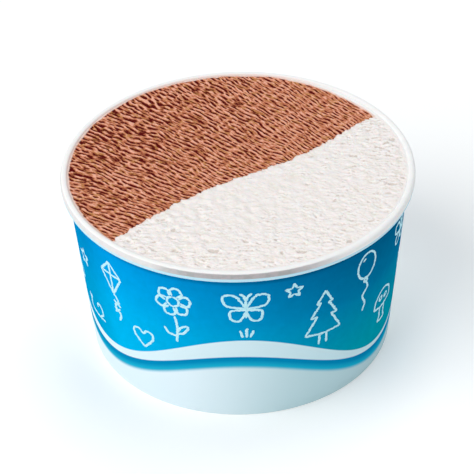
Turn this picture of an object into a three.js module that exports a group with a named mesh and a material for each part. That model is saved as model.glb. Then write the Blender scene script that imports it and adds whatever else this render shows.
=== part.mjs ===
// A paper gelato cup filled level with two flavours, in millimetres, +Z up.
// The origin is the middle of the ring that the cup stands on.
import * as THREE from 'three';

// Driving dimensions of the cup
const CUP_HEIGHT = 49.5;
const RIM_RADIUS = 45; // outside of the rolled rim
const RIM_WIDTH = 2.05; // the roll seen from above
const RIM_DEPTH = 2.85; // the roll seen from the side
const RIM_SQUARENESS = 2.6; // 2 would be an oval roll; more is flatter on top
const BASE_RADIUS = 39.2; // outside of the wall at the table
const PAPER = 0.45; // one layer of coated board
const FOLD_GAP = 0.12; // between the layers that are folded together at the base
const BASE_RECESS = 4; // underside of the bottom above the table
const HEM_DEPTH = 3.4; // the wall's fold up behind the bottom's skirt
const ROLL_TIP_GAP = 0.1; // between the roll's free edge and the wall

// The side seam, at the back, where one end of the wall's blank laps over the other
const SEAM_AZIMUTH = 90; // degrees from +X towards +Y
const SEAM_WIDTH = 12; // degrees of double board
const SEAM_RAMP = 7; // degrees over which the outer layer climbs
const SEAM_STEP = 0.3; // degrees over which its cut edge drops
const SEAM_TOP = CUP_HEIGHT - RIM_DEPTH - 0.5;

// Driving dimensions of the filling
const FILL_DROP = 0.5; // surface below the top of the rim
const FILL_GAP = 0.3; // from the filling to the board round it
const FLAVOUR_AZIMUTH = 35.5; // direction of the line between the flavours
const FLAVOUR_OFFSET = -4.35; // that line's distance from the axis
const FLAVOUR_SWAY = 1.2; // its lazy S
const FLAVOUR_SWAY_LENGTH = 62;
const FLAVOUR_HOOK = 1.5; // its turn towards the front at the left end
const FLAVOUR_HOOK_START = -43;
const FLAVOUR_HOOK_LENGTH = 5;

// Scraped relief of the surface
const FURROW_AZIMUTH = -40; // direction in which the spatula was drawn
const FURROW_PITCH = 4.6;
const FURROW_DEPTH = 0.16;
const FURROW_WANDER = 0.9;
const FURROW_WANDER_LENGTH = 21;
const CRAG_HEIGHT = 0.15;
const RELIEF_SEED = 7;

// Facets
const WALL_FACETS = 80;
const ROLL_OUTER_STEPS = 11;
const ROLL_INNER_STEPS = 6;
const BOTTOM_FACETS = 64;
const FILL_COLUMNS = 56; // along the line between the flavours
const FILL_ROW_SPACING = 2.2; // across it

const rollCentreRadius = RIM_RADIUS - RIM_WIDTH / 2;
const rollCentreHeight = CUP_HEIGHT - RIM_DEPTH / 2;
const innerRimRadius = RIM_RADIUS - RIM_WIDTH;
const wallSlope = (innerRimRadius - (BASE_RADIUS - PAPER)) / rollCentreHeight;

/** Inside radius of the tapered wall at height z. */
function wallInside(z) {
  return BASE_RADIUS - PAPER + wallSlope * z;
}

/** A value raised to a power, with its sign kept. */
function signedPower(value, power) {
  return Math.sign(value) * Math.abs(value) ** power;
}

/** A point of the rolled rim on a squarish oval that is inset from the roll's skin. */
function rollPoint(angle, inset) {
  const across = signedPower(Math.cos(angle), 2 / RIM_SQUARENESS);
  const up = signedPower(Math.sin(angle), 2 / RIM_SQUARENESS);
  const radius = rollCentreRadius + (RIM_WIDTH / 2 - inset) * across;
  const height = rollCentreHeight + (RIM_DEPTH / 2 - inset) * up;
  return [radius, height];
}

/** Points at even angles along the roll, from one angle to another, both included. */
function rollArc(from, to, inset, steps) {
  const points = [];
  for (let step = 0; step <= steps; step += 1) {
    points.push(rollPoint(THREE.MathUtils.lerp(from, to, step / steps), inset));
  }
  return points;
}

/** Points round a quarter bend of the board about a centre, from an angle in quarter turns down. */
function foldArc(radius, height, quarter) {
  return [0, 0.5, 1].map(share => {
    const angle = -(quarter + share) * Math.PI / 2;
    return [radius + PAPER * Math.cos(angle), height + PAPER * Math.sin(angle)];
  });
}

/** The wall's closed section: wall, rolled rim and base fold, with `lap` more board on its outside. */
function wallSection(lap) {
  const tipHeight = CUP_HEIGHT - RIM_DEPTH;
  const tipRadius = wallInside(tipHeight) + PAPER + lap + ROLL_TIP_GAP;
  const tipShare = (tipRadius - rollCentreRadius) / (RIM_WIDTH / 2);
  const tipAngle = -Math.acos(signedPower(tipShare, RIM_SQUARENESS / 2));
  const hemOutside = z => wallInside(z) - PAPER - 2 * FOLD_GAP;
  const hemInside = z => hemOutside(z) - PAPER;
  return [
    ...foldArc(wallInside(PAPER) + lap, PAPER, 0),
    ...foldArc(hemOutside(PAPER), PAPER, 1),
    [hemInside(HEM_DEPTH), HEM_DEPTH],
    [hemOutside(HEM_DEPTH), HEM_DEPTH],
    [hemOutside(PAPER), PAPER],
    [wallInside(PAPER), PAPER],
    ...rollArc(Math.PI, tipAngle, 0, ROLL_OUTER_STEPS),
    ...rollArc(tipAngle, Math.PI, PAPER, ROLL_INNER_STEPS),
    [wallInside(SEAM_TOP) + PAPER + lap, SEAM_TOP],
  ];
}

/** How far the lapped seam lifts the wall's outside at an azimuth in degrees. */
function seamLap(azimuth) {
  const along = azimuth - (SEAM_AZIMUTH - SEAM_WIDTH / 2);
  if (along <= -SEAM_STEP || along >= SEAM_WIDTH) {
    return 0;
  }
  if (along < 0) {
    return PAPER * (1 + along / SEAM_STEP);
  }
  return PAPER * THREE.MathUtils.smoothstep(SEAM_WIDTH - along, 0, SEAM_RAMP);
}

/** Azimuths of the wall's sections: even steps, and closer ones across the seam. */
function wallAzimuths() {
  const seamStart = SEAM_AZIMUTH - SEAM_WIDTH / 2;
  const rampStart = seamStart + SEAM_WIDTH - SEAM_RAMP;
  const azimuths = [seamStart - SEAM_STEP, seamStart];
  const rampSteps = 4;
  for (let step = 0; step <= rampSteps; step += 1) {
    azimuths.push(rampStart + SEAM_RAMP * step / rampSteps);
  }
  const open = 360 - SEAM_WIDTH - SEAM_STEP;
  for (let step = 1; step < WALL_FACETS; step += 1) {
    azimuths.push(seamStart + SEAM_WIDTH + open * step / WALL_FACETS);
  }
  return azimuths;
}

/** A closed body from [x, y, z] points and triangles of their indices. */
function solid(points, triangles) {
  const geometry = new THREE.BufferGeometry();
  geometry.setAttribute('position', new THREE.Float32BufferAttribute(points.flat(), 3));
  geometry.setIndex(triangles.flat());
  geometry.computeVertexNormals();
  return geometry;
}

/** The cup's wall: one section for each azimuth, joined into a ring. */
function wallGeometry() {
  const points = [];
  const triangles = [];
  const azimuths = wallAzimuths();
  const count = wallSection(0).length;
  for (const azimuth of azimuths) {
    const angle = THREE.MathUtils.degToRad(azimuth);
    for (const [radius, height] of wallSection(seamLap(azimuth))) {
      points.push([radius * Math.cos(angle), radius * Math.sin(angle), height]);
    }
  }
  azimuths.forEach((_, column) => {
    const next = (column + 1) % azimuths.length;
    for (let row = 0; row < count; row += 1) {
      const above = (row + 1) % count;
      const a = column * count + row;
      const b = next * count + row;
      const c = next * count + above;
      const d = column * count + above;
      triangles.push([a, d, b], [b, d, c]);
    }
  });
  return solid(points, triangles);
}

/** The bottom: a disc whose edge turns down as a skirt between the wall and its hem. */
function bottomGeometry() {
  const skirtOutside = z => wallInside(z) - FOLD_GAP;
  const skirtInside = z => skirtOutside(z) - PAPER;
  const skirtEnd = PAPER + FOLD_GAP;
  const top = BASE_RECESS + PAPER;
  const profile = [
    [0, BASE_RECESS],
    [skirtInside(BASE_RECESS) - PAPER, BASE_RECESS],
    [skirtInside(BASE_RECESS - PAPER), BASE_RECESS - PAPER / 2],
    [skirtInside(skirtEnd), skirtEnd],
    [skirtOutside(skirtEnd), skirtEnd],
    [skirtOutside(BASE_RECESS), BASE_RECESS],
    [skirtOutside(top) - PAPER / 2, top],
    [0, top],
  ];
  const lathe = new THREE.LatheGeometry(profile.map(([x, y]) => new THREE.Vector2(x, y)), BOTTOM_FACETS);
  return lathe.rotateX(Math.PI / 2);
}

const flavourAngle = THREE.MathUtils.degToRad(FLAVOUR_AZIMUTH);
const furrowAngle = THREE.MathUtils.degToRad(FURROW_AZIMUTH);
const fillFloor = BASE_RECESS + PAPER + FILL_GAP;
const fillLevel = CUP_HEIGHT - FILL_DROP;

/** The line between the flavours: its distance from the axis at the place s along it. */
function flavourLine(s) {
  const sway = FLAVOUR_SWAY * Math.sin(2 * Math.PI * s / FLAVOUR_SWAY_LENGTH);
  const hook = FLAVOUR_HOOK * Math.exp((FLAVOUR_HOOK_START - s) / FLAVOUR_HOOK_LENGTH);
  return FLAVOUR_OFFSET - sway - hook;
}

/** The place s, on one side of the axis, where the flavours' line meets a circle. */
function flavourEnd(radius, side) {
  let near = 0;
  let far = side * radius;
  for (let halving = 0; halving < 40; halving += 1) {
    const middle = (near + far) / 2;
    if (Math.hypot(middle, flavourLine(middle)) < radius) {
      near = middle;
    } else {
      far = middle;
    }
  }
  return near;
}

/** A seeded random draw from -1 to 1. */
function randomDraw(seed) {
  let state = seed;
  return () => {
    state = (Math.imul(state, 1664525) + 1013904223) >>> 0;
    return state / 2 ** 31 - 1;
  };
}

/** Height of the scraped furrows at a point of the surface. */
function furrow(x, y) {
  const along = x * Math.cos(furrowAngle) + y * Math.sin(furrowAngle);
  const across = y * Math.cos(furrowAngle) - x * Math.sin(furrowAngle);
  const wander = FURROW_WANDER * Math.sin(2 * Math.PI * along / FURROW_WANDER_LENGTH);
  return FURROW_DEPTH * Math.sin(2 * Math.PI * (across + wander) / FURROW_PITCH);
}

/** Points of one level of a flavour, from the flavours' line (row 0) out to the wall (last row). */
function flavourLevel(side, radius, rows) {
  const left = flavourEnd(radius, -1);
  const right = flavourEnd(radius, 1);
  const leftTurn = Math.atan2(flavourLine(left), left) + (side > 0 ? 2 * Math.PI : 0);
  const rightTurn = Math.atan2(flavourLine(right), right);
  const grid = [];
  for (let column = 0; column <= FILL_COLUMNS; column += 1) {
    const share = column / FILL_COLUMNS;
    const innerS = THREE.MathUtils.lerp(left, right, (1 - Math.cos(Math.PI * share)) / 2);
    const innerN = flavourLine(innerS) + side * FILL_GAP / 2;
    const turn = THREE.MathUtils.lerp(leftTurn, rightTurn, share);
    const line = [];
    for (let row = 0; row <= rows; row += 1) {
      const s = THREE.MathUtils.lerp(innerS, radius * Math.cos(turn), row / rows);
      const n = THREE.MathUtils.lerp(innerN, radius * Math.sin(turn), row / rows);
      const x = s * Math.cos(flavourAngle) - n * Math.sin(flavourAngle);
      const y = s * Math.sin(flavourAngle) + n * Math.cos(flavourAngle);
      line.push([x, y]);
    }
    grid.push(line);
  }
  return grid;
}

/** One flavour: a straight-sided body down to the cup's bottom, with the scraped surface on top. */
function flavourGeometry(side, seed) {
  const random = randomDraw(seed);
  const topRadius = innerRimRadius - FILL_GAP;
  const floorRadius = wallInside(fillFloor) - FILL_GAP;
  const rows = Math.round((topRadius - side * FLAVOUR_OFFSET) / FILL_ROW_SPACING);
  const top = flavourLevel(side, topRadius, rows);
  const floor = flavourLevel(side, floorRadius, rows);
  const points = [];
  const triangles = [];
  const topIndex = top.map((line, column) => line.map(([x, y], row) => {
    const atTip = column === 0 || column === FILL_COLUMNS;
    if (atTip && row > 0) {
      return points.length - 1;
    }
    points.push([x, y, fillLevel + furrow(x, y) + CRAG_HEIGHT * random()]);
    return points.length - 1;
  }));
  const floorIndex = floor.map((line, column) => [line[0], line[rows]].map(([x, y], end) => {
    const atTip = column === 0 || column === FILL_COLUMNS;
    if (atTip && end > 0) {
      return points.length - 1;
    }
    points.push([x, y, fillFloor]);
    return points.length - 1;
  }));
  const face = (a, b, c) => {
    if (a !== b && b !== c && c !== a) {
      triangles.push(side > 0 ? [a, b, c] : [a, c, b]);
    }
  };
  const quad = (a, b, c, d) => {
    face(a, b, c);
    face(a, c, d);
  };
  for (let column = 0; column < FILL_COLUMNS; column += 1) {
    const next = column + 1;
    for (let row = 0; row < rows; row += 1) {
      const above = row + 1;
      quad(topIndex[column][row], topIndex[next][row], topIndex[next][above], topIndex[column][above]);
    }
    quad(floorIndex[column][0], floorIndex[column][1], floorIndex[next][1], floorIndex[next][0]);
    quad(floorIndex[column][0], floorIndex[next][0], topIndex[next][0], topIndex[column][0]);
    quad(floorIndex[next][1], floorIndex[column][1], topIndex[column][rows], topIndex[next][rows]);
  }
  return solid(points, triangles);
}

const printedBoard = new THREE.MeshStandardMaterial({ color: 0x0a8fd0, roughness: 0.4, metalness: 0 });
const plainBoard = new THREE.MeshStandardMaterial({ color: 0xf2efe9, roughness: 0.6, metalness: 0 });
const chocolate = new THREE.MeshStandardMaterial({ color: 0xb07458, roughness: 0.6, metalness: 0 });
const sweetMilk = new THREE.MeshStandardMaterial({ color: 0xeee8e0, roughness: 0.5, metalness: 0 });

/** A named piece of the cup. */
function piece(name, geometry, material) {
  const mesh = new THREE.Mesh(geometry, material);
  mesh.name = name;
  return mesh;
}

const cup = new THREE.Group();
cup.add(piece('cup_wall', wallGeometry(), printedBoard));
cup.add(piece('cup_bottom', bottomGeometry(), plainBoard));
cup.add(piece('chocolate_gelato', flavourGeometry(1, RELIEF_SEED), chocolate));
cup.add(piece('milk_gelato', flavourGeometry(-1, RELIEF_SEED + 1), sweetMilk));

export default cup;
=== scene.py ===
import math

import bmesh
import bpy
import numpy as np
from mathutils import Matrix, Vector


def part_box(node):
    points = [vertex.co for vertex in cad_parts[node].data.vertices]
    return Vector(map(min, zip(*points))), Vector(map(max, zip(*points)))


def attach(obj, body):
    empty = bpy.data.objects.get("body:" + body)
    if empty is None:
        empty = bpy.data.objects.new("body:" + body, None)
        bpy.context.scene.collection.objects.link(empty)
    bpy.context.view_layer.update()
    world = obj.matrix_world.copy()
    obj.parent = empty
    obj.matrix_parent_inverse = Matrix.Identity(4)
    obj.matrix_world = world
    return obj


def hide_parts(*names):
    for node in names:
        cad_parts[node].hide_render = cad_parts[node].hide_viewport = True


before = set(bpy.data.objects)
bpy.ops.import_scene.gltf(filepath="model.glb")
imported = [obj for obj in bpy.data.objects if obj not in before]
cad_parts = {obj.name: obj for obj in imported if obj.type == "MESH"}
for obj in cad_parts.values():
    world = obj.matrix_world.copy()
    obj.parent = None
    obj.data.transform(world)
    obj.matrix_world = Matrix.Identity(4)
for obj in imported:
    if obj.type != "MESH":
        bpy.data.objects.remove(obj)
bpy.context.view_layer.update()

MM = 0.001
ROOT = "root"
FRONT = -90.0

# Cup board
CUP_HEIGHT = round(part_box("cup_wall")[1].z / MM, 1)
RIM_RADIUS = round(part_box("cup_wall")[1].x / MM, 1)
RIM_WIDTH = 2.05
RIM_DEPTH = 2.85
RIM_SQUARENESS = 2.6  # 2 would be an oval roll; more is flatter on top
BASE_RADIUS = 39.2
PAPER = 0.45
FOLD_GAP = 0.12
BASE_RECESS = 4.0
HEM_DEPTH = 3.4
ROLL_TIP_GAP = 0.1
PRINT_TOP = 46.0
SEAM_AZIMUTH = 90.0
SEAM_WIDTH = 12.0
SEAM_RAMP = 7.0
SEAM_STEP = 0.3
SEAM_TOP = CUP_HEIGHT - RIM_DEPTH - 0.5

# Filling
FILL_LEVEL = CUP_HEIGHT - 0.5
FILL_FLOOR = BASE_RECESS + PAPER + 0.05
FILL_REACH = 0.03  # the gelato presses this far into the wall's skin
RIM_CREEP = 0.12  # and is scraped up this far where it meets the rim,
CREEP_WIDTH = 1.2  # over this width
FLAVOUR_AZIMUTH = 35.5
FLAVOUR_OFFSET = -4.35
FLAVOUR_SWAY = 1.2
FLAVOUR_SWAY_LENGTH = 62.0
FLAVOUR_HOOK = 1.5
FLAVOUR_HOOK_START = -43.0
FLAVOUR_HOOK_LENGTH = 5.0
FLAVOUR_ROWS = 140
CHOCOLATE_COLUMNS = 650
MILK_COLUMNS = 540
GRAIN_AZIMUTH = -40.0  # the icy grain is drawn out along this

# Print: three waves round the cup, as middle height, swing, tilt from right to left and the crest's turn
WAVES = 3
SNOW_EDGE = {"Middle": 18.3, "Swing": 8.0, "Tilt": 2.2, "Crest": 1.5}
LINE_EDGE = {"Middle": 14.6, "Swing": 6.1, "Tilt": 1.6, "Crest": 0.5}
LINE_DEPTH = 3.6
FIELD_LOW_SPAN = (12.0, 32.0)  # the blue field leaves its lowest colour for its middle one here
FIELD_TOP_SPAN = (28.0, 45.0)  # and that one for its top one here
RIM_SHADOW_SPAN = (PRINT_TOP - 1.8, PRINT_TOP - 0.8)  # a painted shadow of the rim darkens it here, just under the rim
RIM_SHADOW_TONE = 0.72
FAR_LEFT_SHADE_SPAN = (-0.93, -0.72)  # and painted shade darkens it at the far left, as sines of the turn from the front
FAR_LEFT_SHADE_TONE = 0.72
PALE_SPAN = (-0.45, 0.5)  # the pale foot passes from its left colour to its right one over such sines
SNOW_BLUR = 0.12  # half the width of the snow's soft upper edge
LINE_BLUR = 0.15  # and of its lower one

rim_centre_radius = RIM_RADIUS - RIM_WIDTH / 2
rim_centre_height = CUP_HEIGHT - RIM_DEPTH / 2
rim_inside = RIM_RADIUS - RIM_WIDTH
wall_slope = (rim_inside - (BASE_RADIUS - PAPER)) / rim_centre_height

# The rim's outside is painted with grey shade below its shoulder and with a pale blue reflection of the
# print lower down, from these heights and radii.
ON_RIM_SPAN = (CUP_HEIGHT - 4.0, CUP_HEIGHT - 3.0)
SHOULDER_SPAN = (CUP_HEIGHT - 0.55, CUP_HEIGHT - 0.3)
BLUE_REFLECTION_SPAN = (CUP_HEIGHT - 1.65, CUP_HEIGHT - 1.45)
OUTSIDE_SPAN = (rim_centre_radius - 0.1, rim_centre_radius + 0.3)
SHADE_FRONT_SPAN = (0.8, 0.99)  # cosines of the turn from the front
SHADE_LEFT_SPAN = (-0.5, 0.1)  # and sines
SHADE_FRONT = 0.9
SHADE_LEFT = 0.32


# -------- camera and light

FRAME_PIXELS = 474
FOCAL_PIXELS = 2051.0
SENSOR = 36.0
CAMERA_DISTANCE = 536.0
CAMERA_ELEVATION = 37.21
CAMERA_ROLL = 1.54
AIM_HEIGHT = 22.0
CUP_RIGHT_PIXELS = 2.86  # the aimed point stands this far right of the picture's middle
CUP_DOWN_PIXELS = 14.87  # and this far below it

LIGHTS = (  # name, azimuth, elevation, distance and size in metres, power in watts, colour
    ("key_left", -147, 42, 2.5, 2.2, 45.0, (1.0, 0.985, 0.96)),
    ("top", 60, 74, 2.5, 1.5, 24.0, (1.0, 1.0, 1.0)),
    ("fill_right", -25, 8, 2.5, 1.5, 9.0, (0.96, 0.98, 1.0)),
)


def make_camera():
    """A long lens, looking down at the front of the cup."""
    tilt = math.radians(CAMERA_ELEVATION)
    roll = math.radians(CAMERA_ROLL)
    back = Vector((0, -math.cos(tilt), math.sin(tilt)))
    level = Vector((1, 0, 0))
    rise = back.cross(level)
    right = level * math.cos(roll) - rise * math.sin(roll)
    up = level * math.sin(roll) + rise * math.cos(roll)
    pixel = CAMERA_DISTANCE / FOCAL_PIXELS
    place = back * CAMERA_DISTANCE
    aim = (up * CUP_DOWN_PIXELS - right * CUP_RIGHT_PIXELS) * pixel
    back = (place - aim).normalized()
    right = (right - back * back.dot(right)).normalized()
    up = back.cross(right)
    place += Vector((0, 0, AIM_HEIGHT))
    data = bpy.data.cameras.new("camera")
    data.sensor_width = SENSOR
    data.lens = SENSOR * FOCAL_PIXELS / FRAME_PIXELS
    data.clip_start = 0.01
    camera = bpy.data.objects.new("camera", data)
    bpy.context.scene.collection.objects.link(camera)
    turn = Matrix((right, up, back)).transposed().to_4x4()
    camera.matrix_world = Matrix.Translation(place * MM) @ turn
    bpy.context.scene.camera = camera


def soft_light(name, azimuth, elevation, distance, size, power, colour):
    """A square softbox that faces the cup's middle."""
    data = bpy.data.lights.new(name, "AREA")
    data.size = size
    data.energy = power
    data.color = colour
    light = bpy.data.objects.new(name, data)
    turn = math.radians(azimuth)
    rise = math.radians(elevation)
    away = Vector((math.cos(turn) * math.cos(rise), math.sin(turn) * math.cos(rise), math.sin(rise)))
    light.location = away * distance + Vector((0, 0, AIM_HEIGHT * MM))
    light.rotation_euler = away.to_track_quat("Z", "Y").to_euler()
    bpy.context.scene.collection.objects.link(light)


def srgb(red, green, blue):
    """Linear colour of a display colour given from 0 to 255."""
    parts = [c / 255 for c in (red, green, blue)]
    return [p / 12.92 if p <= 0.04045 else ((p + 0.055) / 1.055) ** 2.4 for p in parts] + [1.0]


# -------- node helpers

def feed(tree, socket, value):
    """Links a socket from another one, or sets it to a value."""
    if isinstance(value, bpy.types.NodeSocket):
        tree.links.new(value, socket)
    else:
        socket.default_value = value


def put(tree, kind, settings=None, inputs=None):
    """A shader node with its settings, its inputs set to values or linked from sockets."""
    made = tree.nodes.new(kind)
    for name, value in (settings or {}).items():
        setattr(made, name, value)
    for name, value in (inputs or {}).items():
        feed(tree, made.inputs[name], value)
    return made


def maths(tree, operation, *values):
    """The result of a Math node on two or three values or sockets."""
    made = put(tree, "ShaderNodeMath", {"operation": operation}, dict(enumerate(values)))
    return made.outputs[0]


def all_of(tree, *shares):
    """Shares multiplied together."""
    product = shares[0]
    for share in shares[1:]:
        product = maths(tree, "MULTIPLY", product, share)
    return product


def ramp(tree, value, low, high, to_low=0.0, to_high=1.0, smooth=True):
    """A value carried from one span to another, held at both ends."""
    kind = "SMOOTHSTEP" if smooth else "LINEAR"
    inputs = {"Value": value, "From Min": low, "From Max": high, "To Min": to_low, "To Max": to_high}
    return put(tree, "ShaderNodeMapRange", {"interpolation_type": kind}, inputs).outputs["Result"]


def blend(tree, share, first, second, mode="MIX"):
    """Two colours mixed by a share."""
    settings = {"data_type": "RGBA", "blend_type": mode}
    made = put(tree, "ShaderNodeMix", settings, {"Factor": share, 6: first, 7: second})
    return made.outputs[2]


def object_place(tree):
    """Where a point is on its object, in metres."""
    return put(tree, "ShaderNodeTexCoord").outputs["Object"]


def split(tree, place):
    """The X, Y and Z of a place."""
    return put(tree, "ShaderNodeSeparateXYZ", {}, {0: place}).outputs


def noise(tree, place, per_metre, detail=2.0, roughness=0.5):
    """Noise from 0 to 1 with so many cells to a metre."""
    inputs = {"Vector": place, "Scale": per_metre, "Detail": detail, "Roughness": roughness}
    return put(tree, "ShaderNodeTexNoise", {}, inputs).outputs["Fac"]


def node_group(name, inputs, outputs):
    """An empty shader node group of numbers: named inputs with their defaults, and named outputs."""
    tree = bpy.data.node_groups.new(name, "ShaderNodeTree")
    kind = "NodeSocketFloat"
    for label, default in inputs.items():
        tree.interface.new_socket(name=label, in_out="INPUT", socket_type=kind).default_value = default
    for label in outputs:
        tree.interface.new_socket(name=label, in_out="OUTPUT", socket_type=kind)
    entry = tree.nodes.new("NodeGroupInput").outputs
    leave = tree.nodes.new("NodeGroupOutput").inputs
    return tree, entry, leave


def use(tree, group, inputs=None):
    """A node group placed in a material; gives its outputs."""
    made = put(tree, "ShaderNodeGroup", {"node_tree": group}, inputs)
    return made.outputs


def new_material(name, shader_values):
    """A material with a Principled shader whose constant sockets are set here; gives tree and shader."""
    material = bpy.data.materials.new(name)
    material.use_nodes = True
    tree = material.node_tree
    shader = tree.nodes["Principled BSDF"]
    for label, value in shader_values.items():
        shader.inputs[label].default_value = value
    return material, tree, shader


# -------- shared effects

def cup_place_group():
    """Where a point is on the cup: turn from the front in radians, height and radius in millimetres."""
    tree, _, leave = node_group("place on the cup", {}, ("Turn", "Height", "Radius"))
    axes = split(tree, object_place(tree))
    behind = maths(tree, "MULTIPLY", axes["Y"], -1.0)
    tree.links.new(maths(tree, "ARCTAN2", axes["X"], behind), leave["Turn"])
    tree.links.new(maths(tree, "DIVIDE", axes["Z"], MM), leave["Height"])
    flat = put(tree, "ShaderNodeCombineXYZ", {}, {"X": axes["X"], "Y": axes["Y"]}).outputs[0]
    length = put(tree, "ShaderNodeVectorMath", {"operation": "LENGTH"}, {0: flat}).outputs["Value"]
    tree.links.new(maths(tree, "DIVIDE", length, MM), leave["Radius"])
    return tree


def wave_edge_group():
    """How far, in millimetres, a point is above a waved line round the cup."""
    inputs = {"Turn": 0.0, "Height": 0.0, "Middle": 18.0, "Swing": 8.0, "Tilt": 2.0, "Crest": 0.0}
    tree, entry, leave = node_group("above a waved line", inputs, ("Above",))
    crest = maths(tree, "RADIANS", entry["Crest"])
    phase = maths(tree, "MULTIPLY", maths(tree, "SUBTRACT", entry["Turn"], crest), float(WAVES))
    swing = maths(tree, "MULTIPLY", maths(tree, "COSINE", phase), entry["Swing"])
    tilt = maths(tree, "MULTIPLY", maths(tree, "SINE", entry["Turn"]), entry["Tilt"])
    line = maths(tree, "SUBTRACT", maths(tree, "ADD", entry["Middle"], swing), tilt)
    tree.links.new(maths(tree, "SUBTRACT", entry["Height"], line), leave["Above"])
    return tree


def board_fibre_group():
    """Coated cup board: fine fibres under the coating, and a faint cloudy tone."""
    inputs = {"Fibre Size": 0.22, "Cloud Size": 3.0}
    tree, entry, leave = node_group("board fibre", inputs, ("Relief", "Cloud"))
    place = object_place(tree)
    for label, output, detail in (("Fibre Size", "Relief", 3.0), ("Cloud Size", "Cloud", 4.0)):
        per_metre = maths(tree, "DIVIDE", 1.0 / MM, entry[label])
        tree.links.new(noise(tree, place, per_metre, detail, 0.6), leave[output])
    return tree


def frozen_grain_group():
    """Fine icy grain that breaks up a gelato's surface, drawn out along the scrape."""
    inputs = {"Grain Size": 0.3, "Draw": 2.0}
    tree, entry, leave = node_group("frozen grain", inputs, ("Relief", "Frost", "Blotch"))
    place = object_place(tree)
    turned = put(
        tree, "ShaderNodeVectorRotate", {"rotation_type": "Z_AXIS"},
        {"Vector": place, "Angle": -math.radians(GRAIN_AZIMUTH)},
    ).outputs[0]
    axes = split(tree, turned)
    along = maths(tree, "DIVIDE", axes["X"], entry["Draw"])
    inputs = {"X": along, "Y": axes["Y"], "Z": axes["Z"]}
    drawn = put(tree, "ShaderNodeCombineXYZ", {}, inputs).outputs[0]
    per_metre = maths(tree, "DIVIDE", 1.0 / MM, entry["Grain Size"])
    tree.links.new(noise(tree, drawn, per_metre, 3.0, 0.65), leave["Relief"])
    speck = noise(tree, place, maths(tree, "MULTIPLY", per_metre, 1.7))
    tree.links.new(ramp(tree, speck, 0.6, 0.75), leave["Frost"])
    tree.links.new(noise(tree, drawn, maths(tree, "MULTIPLY", per_metre, 0.22)), leave["Blotch"])
    return tree


def rim_film_group():
    """How much of a thin film of gelato lies on the rim, fading outwards from a radius in mm."""
    inputs = {"Radius": 43.0, "Start": 43.2, "Width": 1.0}
    tree, entry, leave = node_group("film on the rim", inputs, ("Film",))
    passed = maths(tree, "SUBTRACT", entry["Radius"], entry["Start"])
    share = maths(tree, "DIVIDE", passed, entry["Width"])
    tree.links.new(ramp(tree, share, 0.0, 1.0, 1.0, 0.0), leave["Film"])
    return tree


CUP_PLACE = cup_place_group()
WAVE_EDGE = wave_edge_group()
BOARD_FIBRE = board_fibre_group()
FROZEN_GRAIN = frozen_grain_group()
RIM_FILM = rim_film_group()


# -------- materials

# A pair is a print colour at the cup's left and at its right; the darker right-hand colours are partly
# print and partly painted shade.
PALE_BOARD = (srgb(231, 247, 254), srgb(196, 224, 230))
SNOW_BOARD = (srgb(226, 245, 252), srgb(206, 236, 244))
FIELD_TOP = (srgb(0, 155, 228), srgb(0, 94, 138))
FIELD_MIDDLE = (srgb(0, 177, 240), srgb(0, 122, 168))
FIELD_LOW = (srgb(0, 184, 240), srgb(0, 156, 176))
LINE_DARK = srgb(0, 136, 188)
LINE_LIGHT = srgb(30, 180, 212)
DRAWING_INK = srgb(205, 244, 252)
WORN_INK = srgb(150, 222, 244)
WHITE_BOARD = srgb(248, 247, 246)
CLEAN_BOARD = srgb(253, 252, 252)
# Painted shade on the rim's outside, mottled grey and mauve.
RIM_SHADE_GREY = srgb(164, 163, 164)
RIM_SHADE_MAUVE = srgb(180, 172, 175)
# A painted pale blue reflection of the print on the roll's underside.
RIM_BLUE_REFLECTION = srgb(196, 234, 248)
CHOCOLATE_SMEAR = srgb(240, 210, 200)
# Ridge and hollow colours are partly the cream's own colour and partly painted highlight and shade.
CHOCOLATE_RIDGE_HIGHLIGHT = srgb(247, 182, 158)
CHOCOLATE_BODY = srgb(198, 120, 86)
CHOCOLATE_HOLLOW_SHADE = srgb(90, 6, 8)
CHOCOLATE_WARM = srgb(194, 132, 74)
MILK_BODY = srgb(250, 241, 238)
MILK_RIDGE_HIGHLIGHT = srgb(255, 250, 248)
MILK_HOLLOW_SHADE = srgb(219, 207, 199)
MILK_WARM = srgb(243, 236, 228)

NOISE_SPAN = (0.3, 0.7)  # noise keeps nearly all within this
FILM_WIDTH = 0.85  # the film of gelato on the rim fades out over this
FILM_SHARE = 0.8  # and covers the board by this much where it is thickest
FILM_RIGHT_SPAN = (10 * MM, 30 * MM)  # it thins out over these, towards the cup's right,
FILM_RIGHT = 0.1  # to this share
TIP_SPAN = (10 * MM, 33 * MM)  # and the gelato's own light edge grows wider over these

BOARD_SHADER = {"Roughness": 0.5, "Specular IOR Level": 0.0, "IOR": 1.5}
GELATO_SHADER = {
    "Specular IOR Level": 0.35,
    "IOR": 1.36,
    "Subsurface Radius": (1.0, 0.6, 0.45),
    "Subsurface Scale": 0.0006,
}


def add_bump(tree, shader, height, strength, depth):
    """Relief of a depth in millimetres on the shader's normal."""
    inputs = {"Height": height, "Strength": strength, "Distance": depth * MM}
    bump = put(tree, "ShaderNodeBump", {}, inputs)
    tree.links.new(bump.outputs["Normal"], shader.inputs["Normal"])


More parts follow.
